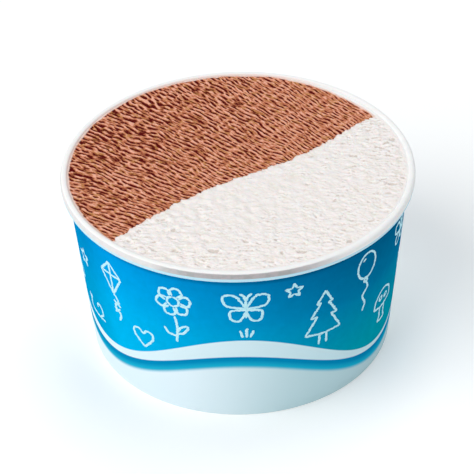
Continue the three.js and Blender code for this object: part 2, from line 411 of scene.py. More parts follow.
def printed_board():
    """The wall's outside: a blue field over a snow-white wave, a soft line and a pale foot; darker
    towards the right partly as print and partly as painted shade, with painted shade at the far left and
    a painted shadow under the rim.
    """
    material, tree, shader = new_material("printed_board", BOARD_SHADER)
    place = use(tree, CUP_PLACE)
    fibre = use(tree, BOARD_FIBRE, {"Fibre Size": 0.2, "Cloud Size": 2.2})
    at = {"Turn": place["Turn"], "Height": place["Height"]}
    above_snow = use(tree, WAVE_EDGE, {**at, **SNOW_EDGE})["Above"]
    above_line = use(tree, WAVE_EDGE, {**at, **LINE_EDGE})["Above"]

    to_right = maths(tree, "SINE", place["Turn"])
    # The print darkens from the cup's left to its right, partly as print and partly as painted shade.
    side = ramp(tree, to_right, -1.0, 1.0)
    pale = blend(tree, ramp(tree, to_right, *PALE_SPAN), *PALE_BOARD)
    snow, top, middle, lowest = [
        blend(tree, side, *pair) for pair in (SNOW_BOARD, FIELD_TOP, FIELD_MIDDLE, FIELD_LOW)
    ]
    low = ramp(tree, place["Height"], *FIELD_LOW_SPAN, smooth=False)
    high = ramp(tree, place["Height"], *FIELD_TOP_SPAN, smooth=False)
    field = blend(tree, high, blend(tree, low, lowest, middle), top)
    cloudy = ramp(tree, fibre["Cloud"], *NOISE_SPAN, 0.95, 1.04, smooth=False)
    # A painted shadow of the rim darkens the print just below it.
    painted_rim_shadow = ramp(tree, place["Height"], *RIM_SHADOW_SPAN, 1.0, RIM_SHADOW_TONE)
    # Painted shade darkens the print towards the cup's far left edge.
    painted_far_left_shade = ramp(tree, to_right, *FAR_LEFT_SHADE_SPAN, FAR_LEFT_SHADE_TONE, 1.0)
    # The print's tone is the board's cloudy mottle times this painted shadow and shade.
    tone = all_of(tree, cloudy, painted_rim_shadow, painted_far_left_shade)
    grey = put(tree, "ShaderNodeCombineColor", {}, {0: tone, 1: tone, 2: tone}).outputs[0]
    field = blend(tree, 1.0, field, grey, "MULTIPLY")

    line = blend(tree, ramp(tree, above_line, -LINE_DEPTH, -0.4), LINE_LIGHT, LINE_DARK)
    foot = blend(tree, ramp(tree, above_line, -LINE_DEPTH - 0.8, -LINE_DEPTH + 0.7), pale, line)
    lower = blend(tree, ramp(tree, above_line, -LINE_BLUR, LINE_BLUR), foot, snow)
    colour = blend(tree, ramp(tree, above_snow, -SNOW_BLUR, SNOW_BLUR), lower, field)
    tree.links.new(colour, shader.inputs["Base Color"])
    roughness = ramp(tree, fibre["Cloud"], *NOISE_SPAN, 0.45, 0.55, smooth=False)
    tree.links.new(roughness, shader.inputs["Roughness"])
    add_bump(tree, shader, fibre["Relief"], 0.25, 0.02)
    return material


def chocolate_side(tree):
    """1 on the chocolate's side of the line between the flavours, fading towards the cup's right."""
    axes = split(tree, object_place(tree))
    turn = math.radians(FLAVOUR_AZIMUTH)
    across = maths(
        tree, "SUBTRACT",
        maths(tree, "MULTIPLY", axes["Y"], math.cos(turn)),
        maths(tree, "MULTIPLY", axes["X"], math.sin(turn)),
    )
    side = ramp(tree, across, (FLAVOUR_OFFSET - 0.6) * MM, (FLAVOUR_OFFSET + 0.6) * MM)
    return maths(tree, "MULTIPLY", side, ramp(tree, axes["X"], *FILM_RIGHT_SPAN, 1.0, FILM_RIGHT))


def plain_board():
    """White board: gelato's film inside the rim, and on the rim's outside a mottled painted grey shade
    over a painted pale blue reflection at its lower edge.
    """
    material, tree, shader = new_material("plain_board", BOARD_SHADER)
    place = use(tree, CUP_PLACE)
    fibre = use(tree, BOARD_FIBRE, {"Fibre Size": 0.25, "Cloud Size": 2.5})
    white = blend(tree, ramp(tree, fibre["Cloud"], *NOISE_SPAN), WHITE_BOARD, CLEAN_BOARD)
    on_rim = ramp(tree, place["Height"], *ON_RIM_SPAN)

    reach = maths(tree, "SUBTRACT", place["Radius"], maths(tree, "MULTIPLY", fibre["Cloud"], 0.4))
    spread = {"Radius": reach, "Start": rim_inside - 0.15, "Width": FILM_WIDTH}
    film = use(tree, RIM_FILM, spread)["Film"]
    smear = all_of(tree, film, on_rim, chocolate_side(tree), FILM_SHARE)
    inside = blend(tree, smear, white, CHOCOLATE_SMEAR)

    # Painted shade: the rim's outside turns mottled grey below its shoulder, most at the front and the
    # left.
    grey = blend(tree, ramp(tree, fibre["Cloud"], 0.4, 0.6), RIM_SHADE_GREY, RIM_SHADE_MAUVE)
    front = ramp(tree, maths(tree, "COSINE", place["Turn"]), *SHADE_FRONT_SPAN, 0.0, SHADE_FRONT)
    left = ramp(tree, maths(tree, "SINE", place["Turn"]), *SHADE_LEFT_SPAN, SHADE_LEFT, 0.0)
    outside = ramp(tree, place["Radius"], *OUTSIDE_SPAN)
    shoulder = maths(tree, "ADD", place["Height"], maths(tree, "MULTIPLY", fibre["Cloud"], -0.3))
    below = ramp(tree, shoulder, *SHOULDER_SPAN, 1.0, 0.0)
    shade = all_of(tree, below, outside, maths(tree, "MAXIMUM", front, left), on_rim)
    upper = blend(tree, shade, inside, grey)

    # A painted pale blue reflection of the print along the roll's lower edge.
    edge = ramp(tree, place["Height"], *BLUE_REFLECTION_SPAN, 1.0, 0.0)
    colour = blend(tree, all_of(tree, edge, outside, on_rim), upper, RIM_BLUE_REFLECTION)
    tree.links.new(colour, shader.inputs["Base Color"])
    shader.inputs["Subsurface Weight"].default_value = 0.08
    shader.inputs["Subsurface Scale"].default_value = 0.0004
    add_bump(tree, shader, fibre["Relief"], 0.2, 0.02)
    return material


def drawing_ink():
    """Pale ink of the drawn lines, a little broken where the pencil skipped."""
    material, tree, shader = new_material("drawing_ink", BOARD_SHADER)
    fibre = use(tree, BOARD_FIBRE, {"Fibre Size": 0.3, "Cloud Size": 0.8})
    worn = ramp(tree, fibre["Cloud"], 0.3, 0.75)
    colour = blend(tree, maths(tree, "MULTIPLY", worn, 0.5), DRAWING_INK, WORN_INK)
    tree.links.new(colour, shader.inputs["Base Color"])
    add_bump(tree, shader, fibre["Relief"], 0.2, 0.02)
    return material


def gelato_material(name, body, ridge, hollow, warm, values):
    """Frozen cream: lighter on the ridges and darker in the hollows, partly its own colour and partly
    painted highlight and shade, with warm blotches and icy grain.
    """
    material, tree, shader = new_material(name, {**GELATO_SHADER, **values["shader"]})
    grain = use(tree, FROZEN_GRAIN, {"Grain Size": values["grain"], "Draw": 2.2})
    depth = put(tree, "ShaderNodeAttribute", {"attribute_name": "scraped"}).outputs["Fac"]
    speckle = ramp(tree, grain["Relief"], *NOISE_SPAN, -values["grainy"], values["grainy"], smooth=False)
    broken = maths(tree, "ADD", depth, speckle)
    base = blend(tree, ramp(tree, grain["Blotch"], 0.45, 0.7), body, warm)
    # Painted highlight towards the ridge colour and painted shade towards the hollow colour, by the
    # scraped measure.
    light = blend(tree, ramp(tree, broken, 0.55, 1.05), base, ridge)
    colour = blend(tree, ramp(tree, broken, values["dark_from"], values["dark_to"]), hollow, light)
    beside = put(tree, "ShaderNodeAttribute", {"attribute_name": "from_line"}).outputs["Fac"]
    colour = blend(tree, ramp(tree, beside, 0.0, 0.7, values["halo"], 0.0), colour, CHOCOLATE_SMEAR)
    place = use(tree, CUP_PLACE)
    whole = object_place(tree)
    wide = ramp(tree, noise(tree, whole, 1 / (7 * MM)), *NOISE_SPAN, -0.2, 0.2)
    narrow = ramp(tree, grain["Blotch"], *NOISE_SPAN, -0.12, 0.12, smooth=False)
    ragged = maths(tree, "ADD", narrow, wide)
    tip = ramp(tree, split(tree, whole)["X"], *TIP_SPAN, 0.0, values["tip"])
    outward = maths(tree, "ADD", maths(tree, "ADD", place["Radius"], ragged), tip)
    film = use(tree, RIM_FILM, {"Radius": outward, "Start": rim_inside, "Width": FILM_WIDTH})["Film"]
    edge = blend(tree, film, WHITE_BOARD, values["smear"])
    colour = blend(tree, ramp(tree, outward, rim_inside - 0.35, rim_inside), colour, edge)
    tree.links.new(colour, shader.inputs["Base Color"])
    wet = ramp(tree, grain["Frost"], 0.0, 1.0, values["wet"], values["dry"], smooth=False)
    tree.links.new(wet, shader.inputs["Roughness"])
    add_bump(tree, shader, grain["Relief"], values["bump"], 0.12)
    return material


PRINTED_BOARD = printed_board()
PLAIN_BOARD = plain_board()
INK = drawing_ink()
CHOCOLATE = gelato_material(
    "chocolate_gelato", CHOCOLATE_BODY, CHOCOLATE_RIDGE_HIGHLIGHT, CHOCOLATE_HOLLOW_SHADE, CHOCOLATE_WARM,
    {
        "grain": 0.3, "grainy": 0.22, "bump": 0.5, "wet": 0.5, "dry": 0.7,
        "dark_from": 0.05, "dark_to": 0.6, "smear": CHOCOLATE_SMEAR, "halo": 0.0, "tip": 1.1,
        "shader": {"Subsurface Weight": 0.2, "Specular IOR Level": 0.08},
    },
)
MILK = gelato_material(
    "milk_gelato", MILK_BODY, MILK_RIDGE_HIGHLIGHT, MILK_HOLLOW_SHADE, MILK_WARM,
    {
        "grain": 0.4, "grainy": 0.18, "bump": 0.5, "wet": 0.45, "dry": 0.65,
        "dark_from": 0.0, "dark_to": 0.45, "smear": MILK_BODY, "halo": 0.6, "tip": 0.4,
        "shader": {"Subsurface Weight": 0.2},
    },
)


# -------- meshes

def make_piece(name, points, faces, materials):
    """A mesh piece from points in millimetres, riding on the cup."""
    mesh = bpy.data.meshes.new(name)
    mesh.from_pydata((np.asarray(points) * MM).tolist(), [], faces)
    for material in materials:
        mesh.materials.append(material)
    mesh.update()
    piece = bpy.data.objects.new(name, mesh)
    bpy.context.scene.collection.objects.link(piece)
    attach(piece, ROOT)
    return piece


def ring_faces(columns, rows, around=True, closed=True):
    """Quads that join rows of points into a surface; column after column, closed either way."""
    faces = []
    for column in range(columns if around else columns - 1):
        here = column * rows
        there = (column + 1) % columns * rows
        for row in range(rows if closed else rows - 1):
            above = (row + 1) % rows
            faces.append((here + row, there + row, there + above, here + above))
    return faces


def wall_inside(height):
    """Inside radius of the wall."""
    return BASE_RADIUS - PAPER + wall_slope * height


def seam_lap(azimuth):
    """How far the lapped side seam lifts the wall's outside."""
    along = azimuth - (SEAM_AZIMUTH - SEAM_WIDTH / 2)
    if along <= -SEAM_STEP or along >= SEAM_WIDTH:
        return 0.0
    if along < 0:
        return PAPER * (1 + along / SEAM_STEP)
    share = min((SEAM_WIDTH - along) / SEAM_RAMP, 1.0)
    return PAPER * share * share * (3 - 2 * share)


def wall_outside(azimuth, height):
    """Outside radius of the wall, with its seam and the slight unevenness of a rolled blank."""
    around = math.radians(azimuth)
    uneven = 0.04 * math.sin(2 * around + 0.6) + 0.025 * math.sin(5 * around + 2.0)
    return wall_inside(height) + PAPER + seam_lap(azimuth) + uneven * height / CUP_HEIGHT


OUTSIDE_HEIGHTS = (PRINT_TOP, 38, 30, 22, 14, 7, 3, 1.2, PAPER)
INSIDE_HEIGHTS = (15, 30, 42)
SHARP_ANGLE = 35  # edges sharper than this stay sharp
BOTTOM_COLUMNS = 240
BOTTOM_MIDDLE = 20.0  # radius of a ring of points on the bottom
BOTTOM_BEND = 0.8  # its edge bends down with this radius


def arc(centre, reach, start, end, steps, squareness=2.0):
    """Points on an oval, or a squarer round, from one angle to another in degrees."""
    points = []
    for step in range(steps + 1):
        angle = math.radians(start + (end - start) * step / steps)
        across, up = math.cos(angle), math.sin(angle)
        out = math.copysign(abs(across) ** (2 / squareness), across)
        high = math.copysign(abs(up) ** (2 / squareness), up)
        points.append((centre[0] + reach[0] * out, centre[1] + reach[1] * high))
    return points


def wall_section(azimuth):
    """The wall's closed section as (radius, height) points, and how many of them the print covers."""
    lap = seam_lap(azimuth)
    tip_radius = wall_inside(CUP_HEIGHT - RIM_DEPTH) + PAPER + lap + ROLL_TIP_GAP
    tip_share = (tip_radius - rim_centre_radius) / (RIM_WIDTH / 2)
    tip = -math.degrees(math.acos(math.copysign(abs(tip_share) ** (RIM_SQUARENESS / 2), tip_share)))
    hem_out = PAPER + 2 * FOLD_GAP
    hem_in = hem_out + PAPER
    outside = [(wall_outside(azimuth, z), z) for z in OUTSIDE_HEIGHTS]
    centre = (rim_centre_radius, rim_centre_height)
    skin = (RIM_WIDTH / 2, RIM_DEPTH / 2)
    inner = (skin[0] - PAPER, skin[1] - PAPER)
    points = list(outside)
    points += arc((wall_outside(azimuth, PAPER) - PAPER, PAPER), (PAPER, PAPER), 0, -90, 4)[1:]
    points += arc((wall_inside(PAPER) - hem_out, PAPER), (PAPER, PAPER), -90, -180, 4)
    points += [(wall_inside(HEM_DEPTH) - hem, HEM_DEPTH) for hem in (hem_in, hem_out)]
    points += [(wall_inside(PAPER) - hem_out, PAPER), (wall_inside(PAPER), PAPER)]
    points += [(wall_inside(z), z) for z in INSIDE_HEIGHTS]
    points += arc(centre, skin, 180, tip, 30, RIM_SQUARENESS)
    points += arc(centre, inner, tip, 180, 12, RIM_SQUARENESS)
    points += [(wall_outside(azimuth, SEAM_TOP), SEAM_TOP)]
    return points, len(outside)


def wall_azimuths():
    """Azimuths of the wall's sections: a degree apart, with sharp steps at the seam's cut edge."""
    start = SEAM_AZIMUTH - SEAM_WIDTH / 2
    return [start - SEAM_STEP, *[start + degree for degree in range(360)]]


def revolve(sections):
    """Points and faces of a ring from closed (radius, height) sections at azimuths."""
    points = []
    for azimuth, section in sections:
        turn = math.radians(azimuth)
        points += [(r * math.cos(turn), r * math.sin(turn), z) for r, z in section]
    faces = ring_faces(len(sections), len(sections[0][1]))
    return points, [face[::-1] for face in faces]


def smooth_faces(piece):
    """Smooth shading on every face."""
    piece.data.polygons.foreach_set("use_smooth", [True] * len(piece.data.polygons))


def finish_edges(piece):
    """Smooth faces, with sharp edges where the board is cut."""
    smooth_faces(piece)
    piece.data.set_sharp_from_angle(angle=math.radians(SHARP_ANGLE))


def weld(piece, distance=0.0005):
    """Joins points that lie together, drops empty faces and turns the others outwards."""
    shape = bmesh.new()
    shape.from_mesh(piece.data)
    bmesh.ops.remove_doubles(shape, verts=shape.verts, dist=distance * MM)
    bmesh.ops.recalc_face_normals(shape, faces=shape.faces)
    shape.to_mesh(piece.data)
    shape.free()


def make_wall():
    """Side wall with its rolled rim, base fold and lapped seam."""
    sections = [(azimuth, wall_section(azimuth)[0]) for azimuth in wall_azimuths()]
    printed = wall_section(0)[1] + 1
    points, faces = revolve(sections)
    piece = make_piece("cup_wall_board", points, faces, [PRINTED_BOARD, PLAIN_BOARD])
    rows = len(sections[0][1])
    for index, polygon in enumerate(piece.data.polygons):
        row = index % rows
        cut_edge = index < rows
        polygon.material_index = 0 if row < printed and not cut_edge else 1
    finish_edges(piece)
    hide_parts("cup_wall")


def make_bottom():
    """The bottom: a disc whose edge turns down between the wall and its fold."""
    skirt = FOLD_GAP + PAPER
    end = PAPER + FOLD_GAP
    top = BASE_RECESS + PAPER
    turn_in = wall_inside(BASE_RECESS) - skirt
    bend = (turn_in - BOTTOM_BEND, BASE_RECESS - BOTTOM_BEND)
    outer_bend = BOTTOM_BEND + PAPER
    section = [(r, BASE_RECESS) for r in (0.0, BOTTOM_MIDDLE, turn_in - 2.6)]
    section += arc(bend, (BOTTOM_BEND, BOTTOM_BEND), 90, 0, 5)
    section += [(wall_inside(end) - skirt, end), (wall_inside(end) - FOLD_GAP, end)]
    section += arc(bend, (outer_bend, outer_bend), 0, 90, 6)
    section += [(BOTTOM_MIDDLE, top), (0.0, top)]
    sections = [(360 * column / BOTTOM_COLUMNS, section) for column in range(BOTTOM_COLUMNS)]
    points, faces = revolve(sections)
    piece = make_piece("cup_bottom_board", points, faces, [PLAIN_BOARD])
    weld(piece)
    finish_edges(piece)
    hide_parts("cup_bottom")


# -------- the filling

TILE = 256  # random values repeat after this many cells


def lattice(x, y, seed):
    """Smooth random heights from about -1 to 1, with a cell of 1."""
    slopes = np.random.default_rng(seed).uniform(0, 2 * np.pi, (TILE, TILE))
    left = np.floor(x).astype(int)
    low = np.floor(y).astype(int)
    u = x - left
    v = y - low

    def corner(right, up):
        turn = slopes[(left + right) % TILE, (low + up) % TILE]
        return np.cos(turn) * (u - right) + np.sin(turn) * (v - up)

    su = u * u * u * (u * (u * 6 - 15) + 10)
    sv = v * v * v * (v * (v * 6 - 15) + 10)
    near = corner(0, 0) * (1 - su) + corner(1, 0) * su
    far = corner(0, 1) * (1 - su) + corner(1, 1) * su
    return 1.4 * (near * (1 - sv) + far * sv)


def step_up(value, low, high):
    """A smooth passage from 0 at one value to 1 at another."""
    share = np.clip((value - low) / (high - low), 0, 1)
    return share * share * (3 - 2 * share)


# A scrape runs along its azimuth, bent by a slow, a middling and a quick sway. Its cuts are short marks
# in files. A kind of cut has a cell and a size, both along and across the scrape, a stray off the cell's
# middle, the least depth, and the shares that show where the surface is calm and where it is torn.
CHOCOLATE_SCRAPE = {
    "seed": 11, "azimuth": -42.0, "fan": 0.2,
    "bend": 0.73, "waver": 0.3, "shiver": 0.1,
    "cuts": (
        ((2.8, 1.2), (0.5, 0.25), (0.35, 0.3), 0.6, 1.0, 0.6),
        ((3.4, 1.5), (0.48, 0.24), (0.35, 0.3), 0.6, 0.0, 0.6),
    ),
    "ridge_cell": (2.2, 0.72), "fine_cell": (0.65, 0.4), "lump_cell": 2.6,
    "ridge": 1.1, "fine": 0.35, "lump": 0.03,
    "patchy": 0.15, "rougher": 0.36, "back": 0.75, "edge_rough": 0.0,
    "rise": 0.075, "cut": 0.25, "lip": 0.1,
    "level": 0.665, "ridge_highlight": 0.45, "cut_shade": 1.25, "lip_highlight": 0.33,
}
MILK_SCRAPE = {
    "seed": 41, "azimuth": -6.0, "fan": 0.0,
    "bend": 0.73, "waver": 0.5, "shiver": 0.12,
    "cuts": (
        ((2.2, 1.3), (0.4, 0.2), (0.8, 0.9), 0.0, 0.6, 0.6),
        ((8.0, 6.5), (0.13, 0.1), (0.8, 0.8), 0.0, 1.0, 1.0),
        ((3.4, 2.8), (0.24, 0.2), (0.8, 0.8), 0.0, 0.0, 0.9),
    ),
    "ridge_cell": (1.7, 0.9), "fine_cell": (0.7, 0.55), "lump_cell": 2.1,
    "ridge": 0.65, "fine": 0.6, "lump": 0.2,
    "patchy": 0.7, "rougher": -0.25, "back": 0.0, "edge_rough": 0.6,
    "rise": 0.09, "cut": 0.18, "lip": 0.06,
    "level": 0.65, "ridge_highlight": 0.55, "cut_shade": 0.6, "lip_highlight": 0.1,
}
SWAYS = (("bend", 8.0), ("waver", 3.2), ("shiver", 1.3))  # the scrape's sways and their cells
RIDGE_APART = 0.7  # the surface this far to both sides of a point is taken from it
RIDGE_THIN = 0.38  # by this share, which makes the ridges thinner
CALM_FROM = 15.0  # the chocolate's scrape grows calmer in front of this Y
EDGE_SPAN = (16, 38)  # the milk's scrape grows rougher over these radii
TORN_CELL = 6.5
TORN_SPAN = (0.1, 0.7)
PATCH_CELL = 5
SWELL_CELL = 11
SWELL = 0.08
PIT_CELL = 0.9  # the cuts' floors are uneven, with a cell of this size
CUT_LEAN = 0.4  # how far a cut may lean off the scrape
CUT_BOW = 0.5  # and how far it may curve
CUT_SKIRT = (1.3, 0.3)  # a cut deepens from the first of these shares of its size to the second
LIP_AT = 1.4  # where a cut's raised lip lies, as a share of the cut
LIP_WIDTH = 0.36  # and how wide it is


def chatter_cuts(along, across, seed, cell, size, stray, least):
    """Short chatter cuts in files across the scrape: how deep a point is in one, how near to its lip."""
    draw = np.random.default_rng(seed)
    picks = draw.uniform(0, 1, (7, TILE, TILE))
    shifts = draw.uniform(0, 1, TILE)
    along = along / cell[0]
    across = across / cell[1]
    column = np.floor(along).astype(int)
    deep = np.zeros_like(along)
    lip = np.zeros_like(along)
    for right in (-1, 0, 1):
        file = column + right
        down = across + shifts[file % TILE]
        row = np.floor(down).astype(int)
        for up in (-1, 0, 1):
            place, drop, long, wide, depth, lean, bow = picks[:, file % TILE, (row + up) % TILE]
            ahead = along - (file + 0.5 + stray[0] * (place - 0.5))
            beside = down - (row + up + 0.5 + stray[1] * (drop - 0.5))
            beside -= CUT_LEAN * (lean - 0.5) * ahead + CUT_BOW * (bow - 0.5) * ahead * ahead
            length = size[0] * (0.6 + 0.8 * long)
            width = size[1] * (0.7 + 0.6 * wide)
            out = np.sqrt((ahead / length) ** 2 + (beside / width) ** 2)
            strength = least + (1 - least) * depth
            deep = np.maximum(deep, strength * step_up(out, *CUT_SKIRT))
            # A lip is stronger on its far side, which faces the key light; in the colour measure this
            # paints a highlight there.
            far_side = 0.4 + 0.6 * step_up(beside / width, -0.7, 0.7)
            lip = np.maximum(lip, strength * far_side * np.exp(-((out - LIP_AT) / LIP_WIDTH) ** 2))
    return deep, lip


def scrape(x, y, values):
    """Height of the scraped surface in millimetres, and a measure from 0 in cuts to 1 on ridges, which
    colours the cuts darker and the ridges and lips lighter, partly as painted shade and highlight.
    """
    seed = values["seed"]
    bent_x = x
    bent_y = y
    for number, (label, cell) in enumerate(SWAYS):
        at = (x / cell, y / cell)
        bent_x = bent_x + values[label] * lattice(*at, seed + 40 + number)
        bent_y = bent_y + values[label] * lattice(*at, seed + 50 + number)
    turn = math.radians(values["azimuth"])
    along = bent_x * math.cos(turn) + bent_y * math.sin(turn)
    across = bent_y * math.cos(turn) - bent_x * math.sin(turn)
    across = across + values["fan"] * along * across / rim_inside

    ridge_along = along / values["ridge_cell"][0]
    ridge_across = across / values["ridge_cell"][1]
    one_side = lattice(ridge_along, ridge_across + RIDGE_APART, seed + 6)
    other_side = lattice(ridge_along, ridge_across - RIDGE_APART, seed + 6)
    ridges = lattice(ridge_along, ridge_across, seed + 6) - RIDGE_THIN * (one_side + other_side)
    fine = lattice(along / values["fine_cell"][0], across / values["fine_cell"][1], seed + 5)
    rough = values["ridge"] * ridges + values["fine"] * fine

    rough_side = (values["back"] * np.minimum(y - CALM_FROM, 0) - x) / rim_inside
    uneven = values["patchy"] * lattice(x / PATCH_CELL, y / PATCH_CELL, seed + 7)
    patch = 1 + uneven + values["rougher"] * rough_side
    patch = patch + values["edge_rough"] * (step_up(np.hypot(x, y), *EDGE_SPAN) - 0.5)
    torn = step_up(lattice(x / TORN_CELL, y / TORN_CELL, seed + 8) + rough_side, *TORN_SPAN)

    deep = np.zeros_like(x)
    lip = np.zeros_like(x)
    for number, (*kind, calm, ripped) in enumerate(values["cuts"]):
        more, edge = chatter_cuts(along, across, seed + 20 + number, *kind)
        share = calm + (ripped - calm) * torn
        deep = 1 - (1 - deep) * (1 - more * share)
        lip = np.maximum(lip, edge * share)
    lip = lip * (1 - deep)
    deep = deep * (1 + 0.6 * np.clip(lattice(x / PIT_CELL, y / PIT_CELL, seed + 11), -0.8, 0.5))

    lumps = lattice(bent_x / values["lump_cell"], bent_y / values["lump_cell"], seed + 9)
    lump = values["lump"] * (1 + torn) * lumps
    swell = SWELL * lattice(x / SWELL_CELL, y / SWELL_CELL, seed + 10)
    relief = values["rise"] * rough - values["cut"] * (deep - 0.25) + values["lip"] * lip
    # The colour measure paints shade into the cuts and highlights on the ridges and lips.
    measure = values["ridge_highlight"] * rough - values["cut_shade"] * deep + values["lip_highlight"] * lip
    return relief * patch + lump + swell, np.clip(values["level"] + measure * patch, 0, 1)


def flavour_line(along):
    """The line between the flavours: its distance from the axis at places along it, a little ragged."""
    sway = FLAVOUR_SWAY * np.sin(2 * np.pi * along / FLAVOUR_SWAY_LENGTH)
    hook = FLAVOUR_HOOK * np.exp((FLAVOUR_HOOK_START - along) / FLAVOUR_HOOK_LENGTH)
    level = along * 0 + 0.5
    ragged = 0.45 * lattice(along / 1.7, level, 3) + 0.35 * lattice(along / 0.6, level, 4)
    return FLAVOUR_OFFSET - sway - hook + ragged


def add_values(piece, label, grid, below):
    """A named value on the piece's points: the top's from a grid, and one for all that are below."""
    count = len(piece.data.vertices)
    shown = np.concatenate([grid.ravel(), np.full(count - grid.size, below)])
    attribute = piece.data.attributes.new(label, "FLOAT", "POINT")
    attribute.data.foreach_set("value", shown.astype(np.float32))


def make_flavour(name, node, material, values, side, columns):
    """One flavour as a closed body: scraped on top, straight down the wall, flat at the bottom."""
    rows = FLAVOUR_ROWS
    lift = (FILL_LEVEL + RIM_CREEP - rim_centre_height) / (RIM_DEPTH / 2)
    rim_share = (1 - lift ** RIM_SQUARENESS) ** (1 / RIM_SQUARENESS)
    reach = rim_centre_radius - RIM_WIDTH / 2 * rim_share + FILL_REACH
    along = np.linspace(-reach, reach, columns)
    arc_out = np.sqrt(np.maximum(reach * reach - along * along, 0))
    line = np.clip(flavour_line(along), -arc_out, arc_out)
    near, far = (line, arc_out) if side > 0 else (-arc_out, line)
    share = np.linspace(0, 1, rows)[None, :]
    across = near[:, None] + (far - near)[:, None] * share
    along = np.repeat(along[:, None], rows, axis=1)
    turn = math.radians(FLAVOUR_AZIMUTH)
    x = along * math.cos(turn) - across * math.sin(turn)
    y = along * math.sin(turn) + across * math.cos(turn)
    height, measure = scrape(x, y, values)
    from_line = np.abs(across - line[:, None])
    off_rim = step_up(reach - np.hypot(x, y), 0, CREEP_WIDTH)
    top = np.stack([x, y, FILL_LEVEL + height * off_rim + RIM_CREEP * (1 - off_rim)], axis=-1)

    levels = [top.reshape(-1, 3)]
    faces = ring_faces(columns, rows, around=False, closed=False)
    near_edge = [column * rows for column in range(columns)]
    far_edge = [column * rows + rows - 1 for column in reversed(range(columns))]
    upper = near_edge + far_edge
    around = len(upper)
    outline = levels[0][upper]
    count = len(levels[0])
    for level in (CUP_HEIGHT - RIM_DEPTH, FILL_FLOOR):
        shrink = (wall_inside(level) + FILL_REACH) / reach
        levels.append(outline * [shrink, shrink, 0] + [0, 0, level])
        lower = list(range(count, count + around))
        for here in range(around):
            there = (here + 1) % around
            faces.append((upper[here], upper[there], lower[there], lower[here]))
        count += around
        upper = lower
    for here in range(columns - 1):
        mirror = around - 1 - here
        faces.append((upper[here], upper[here + 1], upper[mirror - 1], upper[mirror]))
    piece = make_piece(name, np.concatenate(levels), faces, [material])
    add_values(piece, "scraped", measure, 0.5)
    add_values(piece, "from_line", from_line, 5.0)
    weld(piece, 0.002)
    smooth_faces(piece)
    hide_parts(node)


# -------- the drawn lines

LINE_WIDTH = 0.75
LINE_STEP = 0.35  # a line has a point about this often
INK_RISE = 0.03
INK_SINK = 0.03
RIBBON = ((-0.5, -INK_SINK), (-0.36, INK_RISE), (0.36, INK_RISE), (0.5, -INK_SINK))  # a line's section
HAND_SHAKE = 0.06
WIDTH_SHAKE = 0.12


def smooth_path(points):
    """Points at even steps on a smooth curve through the given ones."""
    given = np.asarray(points, float)
    padded = np.vstack([2 * given[0] - given[1], given, 2 * given[-1] - given[-2]])
    if np.allclose(given[0], given[-1]):
        padded[0] = given[-2]
        padded[-1] = given[1]
    curve = []
    for a, b, c, d in zip(padded, padded[1:], padded[2:], padded[3:]):
        steps = max(int(np.linalg.norm(c - b) / LINE_STEP), 1)
        for share in np.arange(steps) / steps:
            bow = (2 * a - 5 * b + 4 * c - d) * share ** 2
            twist = (3 * b - a - 3 * c + d) * share ** 3
            curve.append(0.5 * (2 * b + (c - a) * share + bow + twist))
    return np.array(curve + [given[-1]])


def on_wall(azimuth, height, u, v, rise):
    """A point drawn u to the right and v above a place on the wall."""
    z = height + v
    turned = azimuth + math.degrees(u / wall_outside(azimuth, z))
    radius = wall_outside(turned, z) + rise
    turn = math.radians(turned)
    return radius * math.cos(turn), radius * math.sin(turn), z


def stroke(points, azimuth, height, size, wobble):
    """One drawn line as a thin closed ribbon that lies on the wall."""
    path = smooth_path(np.asarray(points) * size)
    path += HAND_SHAKE * wobble.standard_normal((len(path), 2))
    heading = np.gradient(path, axis=0)
    heading /= np.maximum(np.linalg.norm(heading, axis=1, keepdims=True), 1e-6)
    sideways = np.stack([-heading[:, 1], heading[:, 0]], axis=1)
    width = LINE_WIDTH * (1 + WIDTH_SHAKE * wobble.standard_normal(len(path)))
    order = np.arange(len(path))
    from_end = np.minimum(order, order[::-1]) * LINE_STEP / (LINE_WIDTH / 2)
    width *= np.sqrt(np.clip(from_end + 0.25, 0.05, 1))
    points_out = []
    for place, side, wide in zip(path, sideways, width):
        for offset, rise in RIBBON:
            u, v = place + side * wide * offset
            points_out.append(on_wall(azimuth, height, u, v, rise))
    rows = len(RIBBON)
    faces = [face[::-1] for face in ring_faces(len(path), rows, around=False)]
    last = (len(path) - 1) * rows
    faces.append(tuple(range(rows)))
    faces.append(tuple(last + row for row in reversed(range(rows))))
    return points_out, faces


def loop(centre, reach, steps=14):
    """A closed oval, drawn from its top."""
    return arc(centre, reach, 90, 450, steps)


def sides(points):
    """The straight lines from each point to the next."""
    return [[here, there] for here, there in zip(points, points[1:])]


def flower():
    """A daisy with a stem and two leaves, 15 mm high."""
    strokes = [loop((0, 4.6), (1.3, 1.3))]
    for petal in range(6):
        turn = math.radians(60 * petal + 12)
        out = (math.cos(turn), math.sin(turn))
        side = (-out[1], out[0])
        reach = ((1.5, -0.5), (2.9, -1.3), (3.9, 0), (2.9, 1.3), (1.5, 0.5))
        strokes.append([(a * out[0] + b * side[0], 4.6 + a * out[1] + b * side[1]) for a, b in reach])
    strokes.append([(0.1, 0.6), (0.5, -2.4), (0.1, -6.6)])
    strokes.append([(0.4, -4.2), (1.9, -3.6), (2.9, -1.9), (1.3, -2.3), (0.4, -4.2)])
    strokes.append([(0.3, -5.0), (-1.6, -4.5), (-2.5, -3.0)])
    return strokes


def fir_tree():
    """A fir of three tiers with a short trunk, 15 mm high."""
    right = [(0, 7.6), (1.9, 4.2), (0.9, 4.4), (3.1, 0.6), (1.6, 0.9), (4.2, -3.8)]
    left = [(-x, y + 0.15) for x, y in right]
    strokes = sides(right) + sides(left)
    strokes.append([(-4.2, -3.6), (0, -4.1), (4.2, -3.8)])
    strokes += [[(-0.8, -4.2), (-0.9, -7.0)], [(0.8, -4.2), (0.8, -7.0)]]
    return strokes


